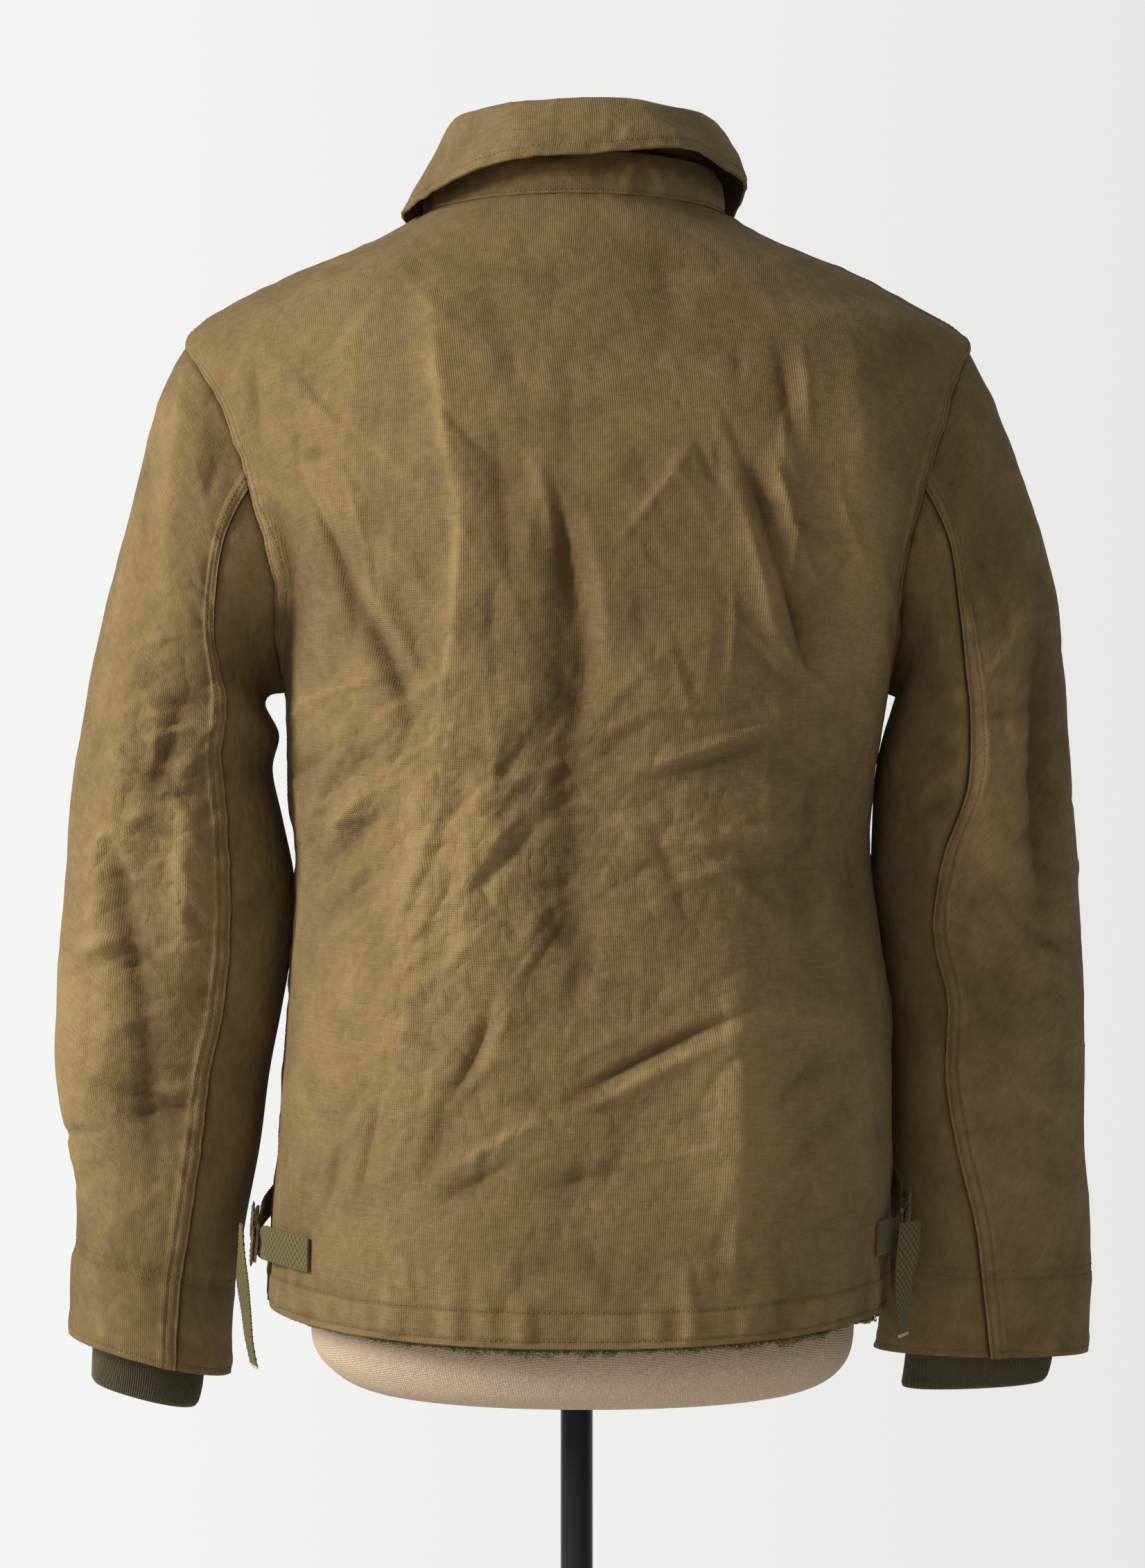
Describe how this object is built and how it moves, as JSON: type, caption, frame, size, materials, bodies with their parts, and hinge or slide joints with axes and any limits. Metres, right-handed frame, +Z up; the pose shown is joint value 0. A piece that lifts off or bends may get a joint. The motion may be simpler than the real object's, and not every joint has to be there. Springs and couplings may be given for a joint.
{
  "type": "blouson deck jacket on a dress form and stand",
  "caption": "Hip-length canvas blouson with a stand-and-fall collar, pile lining, knit storm cuffs and buckled hem straps, on a limbless linen dress form and a round steel stand.",
  "frame": {"origin": "on the floor at the centre of the stand's base, on the pole's axis", "axes": "+Z up along the pole, +Y out of the garment's front, +X towards the wearer's right"},
  "size_m": [0.6184, 0.35, 1.5243],
  "materials": {
    "canvas": "olive brown washed cotton canvas, matte",
    "pile": "olive green curly pile",
    "knit": "dark ribbed wool knit",
    "webbing": "woven cotton webbing",
    "linen": "coarse beige linen",
    "buckle": "worn dark lacquer over steel",
    "black_steel": "satin black"
  },
  "bodies": {
    "root": {"back_panel": "canvas", "front_left": "canvas", "front_right": "canvas", "front_fly": "canvas", "collar_stand": "canvas", "collar_leaf": "canvas", "pile_lining": "pile", "dress_form": "linen", "stand_base": "black_steel", "stand_pole": "black_steel", "sleeve_top_left": "canvas", "sleeve_under_left": "canvas", "knit_cuff_left": "knit", "buckle_left": "buckle", "strap_back_left": "webbing", "strap_front_left": "webbing", "strap_tail_left": "webbing", "sleeve_top_right": "canvas", "sleeve_under_right": "canvas", "knit_cuff_right": "knit", "buckle_right": "buckle", "strap_back_right": "webbing", "strap_front_right": "webbing", "strap_tail_right": "webbing"}
  },
  "joints": []
}
